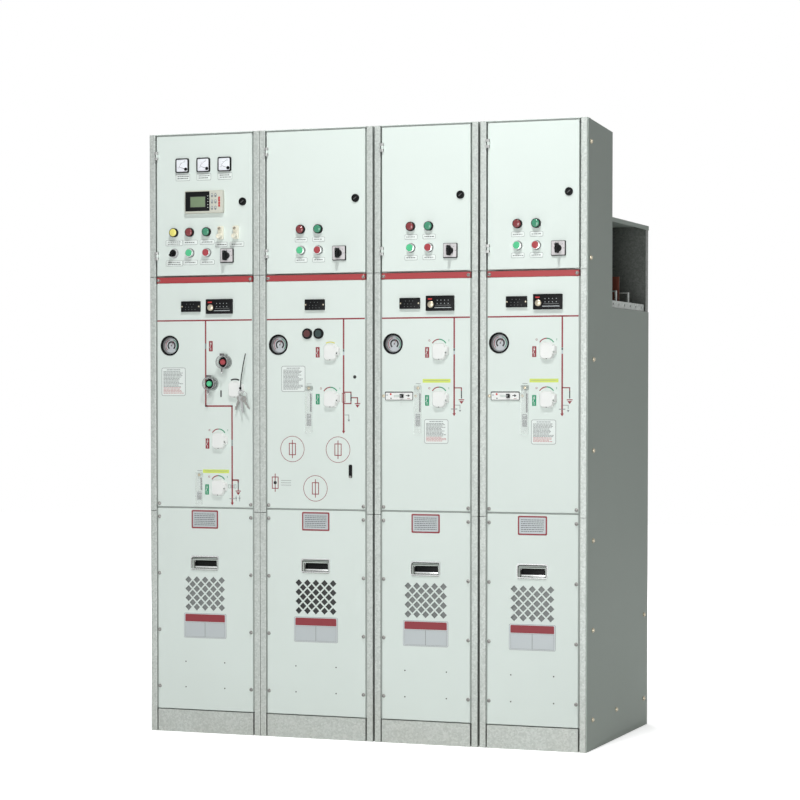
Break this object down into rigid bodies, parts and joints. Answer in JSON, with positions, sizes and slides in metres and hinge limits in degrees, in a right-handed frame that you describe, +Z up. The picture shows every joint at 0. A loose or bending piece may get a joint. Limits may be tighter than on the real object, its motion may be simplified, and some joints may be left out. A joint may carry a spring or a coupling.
{
  "type": "ring main unit",
  "caption": "Row of joined medium-voltage switchgear cubicles with low-voltage doors, mechanism panels, cable covers and an open-ended busbar duct behind.",
  "frame": {"origin": "middle of the footprint on the floor", "axes": "+Z up; +Y from the fronts to the backs; +X along the row, to the right when seen from the front"},
  "size_m": [1.603, 0.816, 2.1],
  "materials": {
    "galvanised": "spangled zinc, satin",
    "steel_sheet": "grey sheet, satin",
    "cover_paint": "pale grey-green powder coat, fine texture",
    "red_paint": "red paint, satin",
    "chrome": "bright",
    "brown_board": "insulating board, matte",
    "clear_plastic": "clear",
    "black_plastic": "semi-gloss",
    "white_plastic": "semi-gloss",
    "red_plastic": "semi-gloss",
    "green_plastic": "semi-gloss"
  },
  "bodies": {
    "cubicles": {"posts_lower": "galvanised", "posts_middle": "galvanised", "posts_upper": "galvanised", "housings": "steel_sheet", "lv_box_1": "steel_sheet", "lv_box_2": "steel_sheet", "lv_box_3": "steel_sheet", "lv_box_4": "steel_sheet", "hinge_arms": "chrome", "title_strips": "red_paint", "roof_trims": "galvanised", "mechanism_panels": "cover_paint", "gas_gauges": "black_plastic", "voltage_indicators": "black_plastic", "fault_indicators": "black_plastic", "press_bezels": "black_plastic", "press_guards": "clear_plastic", "trip_fittings": "black_plastic", "window_strips": "clear_plastic", "padlock_plates": "white_plastic", "cable_covers": "cover_paint", "pull_handles": "chrome", "plinth_fronts": "galvanised", "side_cover_left": "cover_paint", "side_cover_right": "cover_paint", "rear_panels": "galvanised", "busbar_tray": "galvanised", "busbar_lid": "steel_sheet", "end_strips": "galvanised", "busbar_barriers": "brown_board", "busbar_brackets": "galvanised"},
    "door_1": {"lv_door_1": "cover_paint", "door_instruments_1": "black_plastic"},
    "cam_switch_1": {"cam_handle_1": "black_plastic"},
    "door_2": {"lv_door_2": "cover_paint", "door_instruments_2": "black_plastic"},
    "cam_switch_2": {"cam_handle_2": "black_plastic"},
    "door_3": {"lv_door_3": "cover_paint", "door_instruments_3": "black_plastic"},
    "cam_switch_3": {"cam_handle_3": "black_plastic"},
    "door_4": {"lv_door_4": "cover_paint", "door_instruments_4": "black_plastic"},
    "cam_switch_4": {"cam_handle_4": "black_plastic"},
    "selector": {"selector_handle": "black_plastic"},
    "operating_cap_1a_body": {"operating_cap_1a": "white_plastic"},
    "operating_cap_1b_body": {"operating_cap_1b": "white_plastic"},
    "operating_cap_1c_body": {"operating_cap_1c": "white_plastic"},
    "operating_cap_2a_body": {"operating_cap_2a": "white_plastic"},
    "operating_cap_2b_body": {"operating_cap_2b": "white_plastic"},
    "operating_cap_3a_body": {"operating_cap_3a": "white_plastic"},
    "operating_cap_3b_body": {"operating_cap_3b": "white_plastic"},
    "operating_cap_4a_body": {"operating_cap_4a": "white_plastic"},
    "operating_cap_4b_body": {"operating_cap_4b": "white_plastic"},
    "press_button_red_body": {"press_button_red": "red_plastic"},
    "press_button_green_body": {"press_button_green": "green_plastic"},
    "padlock_slider_3_body": {"padlock_slider_3": "black_plastic"},
    "padlock_slider_4_body": {"padlock_slider_4": "black_plastic"}
  },
  "joints": [
    {"name": "door_1_hinge", "type": "hinge", "parent": "cubicles", "child": "door_1", "pos_m": [-0.7685, -0.377, 1.85], "axis": [0, 0, -1], "range_deg": [0, 110]},
    {"name": "cam_switch_1_turn", "type": "hinge", "parent": "door_1", "child": "cam_switch_1", "pos_m": [-0.5005, -0.372, 1.672], "axis": [0, 1, 0], "range_deg": [0, 90]},
    {"name": "door_2_hinge", "type": "hinge", "parent": "cubicles", "child": "door_2", "pos_m": [-0.3475, -0.377, 1.85], "axis": [0, 0, -1], "range_deg": [0, 110]},
    {"name": "cam_switch_2_turn", "type": "hinge", "parent": "door_2", "child": "cam_switch_2", "pos_m": [-0.0795, -0.372, 1.672], "axis": [0, 1, 0], "range_deg": [0, 90]},
    {"name": "door_3_hinge", "type": "hinge", "parent": "cubicles", "child": "door_3", "pos_m": [0.0795, -0.377, 1.85], "axis": [0, 0, -1], "range_deg": [0, 110]},
    {"name": "cam_switch_3_turn", "type": "hinge", "parent": "door_3", "child": "cam_switch_3", "pos_m": [0.3235, -0.372, 1.672], "axis": [0, 1, 0], "range_deg": [0, 90]},
    {"name": "door_4_hinge", "type": "hinge", "parent": "cubicles", "child": "door_4", "pos_m": [0.4585, -0.377, 1.85], "axis": [0, 0, -1], "range_deg": [0, 110]},
    {"name": "cam_switch_4_turn", "type": "hinge", "parent": "door_4", "child": "cam_switch_4", "pos_m": [0.7025, -0.372, 1.672], "axis": [0, 1, 0], "range_deg": [0, 90]},
    {"name": "selector_turn", "type": "hinge", "parent": "door_1", "child": "selector", "pos_m": [-0.7045, -0.372, 1.684], "axis": [0, 1, 0], "range_deg": [0, 90]},
    {"name": "cap_1a_turn", "type": "hinge", "parent": "cubicles", "child": "operating_cap_1a_body", "pos_m": [-0.471, -0.372, 1.207], "axis": [0, 1, 0], "range_deg": [0, 90]},
    {"name": "cap_1b_turn", "type": "hinge", "parent": "cubicles", "child": "operating_cap_1b_body", "pos_m": [-0.5335, -0.372, 1.028], "axis": [0, 1, 0], "range_deg": [0, 90]},
    {"name": "cap_1c_turn", "type": "hinge", "parent": "cubicles", "child": "operating_cap_1c_body", "pos_m": [-0.5355, -0.372, 0.865], "axis": [0, 1, 0], "range_deg": [0, 90]},
    {"name": "cap_2a_turn", "type": "hinge", "parent": "cubicles", "child": "operating_cap_2a_body", "pos_m": [-0.1115, -0.372, 1.334], "axis": [0, 1, 0], "range_deg": [0, 90]},
    {"name": "cap_2b_turn", "type": "hinge", "parent": "cubicles", "child": "operating_cap_2b_body", "pos_m": [-0.1115, -0.372, 1.173], "axis": [0, 1, 0], "range_deg": [0, 90]},
    {"name": "cap_3a_turn", "type": "hinge", "parent": "cubicles", "child": "operating_cap_3a_body", "pos_m": [0.2845, -0.372, 1.334], "axis": [0, 1, 0], "range_deg": [0, 90]},
    {"name": "cap_3b_turn", "type": "hinge", "parent": "cubicles", "child": "operating_cap_3b_body", "pos_m": [0.2845, -0.372, 1.173], "axis": [0, 1, 0], "range_deg": [0, 90]},
    {"name": "cap_4a_turn", "type": "hinge", "parent": "cubicles", "child": "operating_cap_4a_body", "pos_m": [0.6635, -0.372, 1.334], "axis": [0, 1, 0], "range_deg": [0, 90]},
    {"name": "cap_4b_turn", "type": "hinge", "parent": "cubicles", "child": "operating_cap_4b_body", "pos_m": [0.6635, -0.372, 1.173], "axis": [0, 1, 0], "range_deg": [0, 90]},
    {"name": "press_red", "type": "slide", "parent": "cubicles", "child": "press_button_red_body", "axis": [0, 1, 0], "range_m": [0, 0.006], "stiffness_N_per_m": 600},
    {"name": "press_green", "type": "slide", "parent": "cubicles", "child": "press_button_green_body", "axis": [0, 1, 0], "range_m": [0, 0.006], "stiffness_N_per_m": 600},
    {"name": "slider_3_slide", "type": "slide", "parent": "cubicles", "child": "padlock_slider_3_body", "axis": [-1, 0, 0], "range_m": [0, 0.021]},
    {"name": "slider_4_slide", "type": "slide", "parent": "cubicles", "child": "padlock_slider_4_body", "axis": [-1, 0, 0], "range_m": [0, 0.021]}
  ]
}
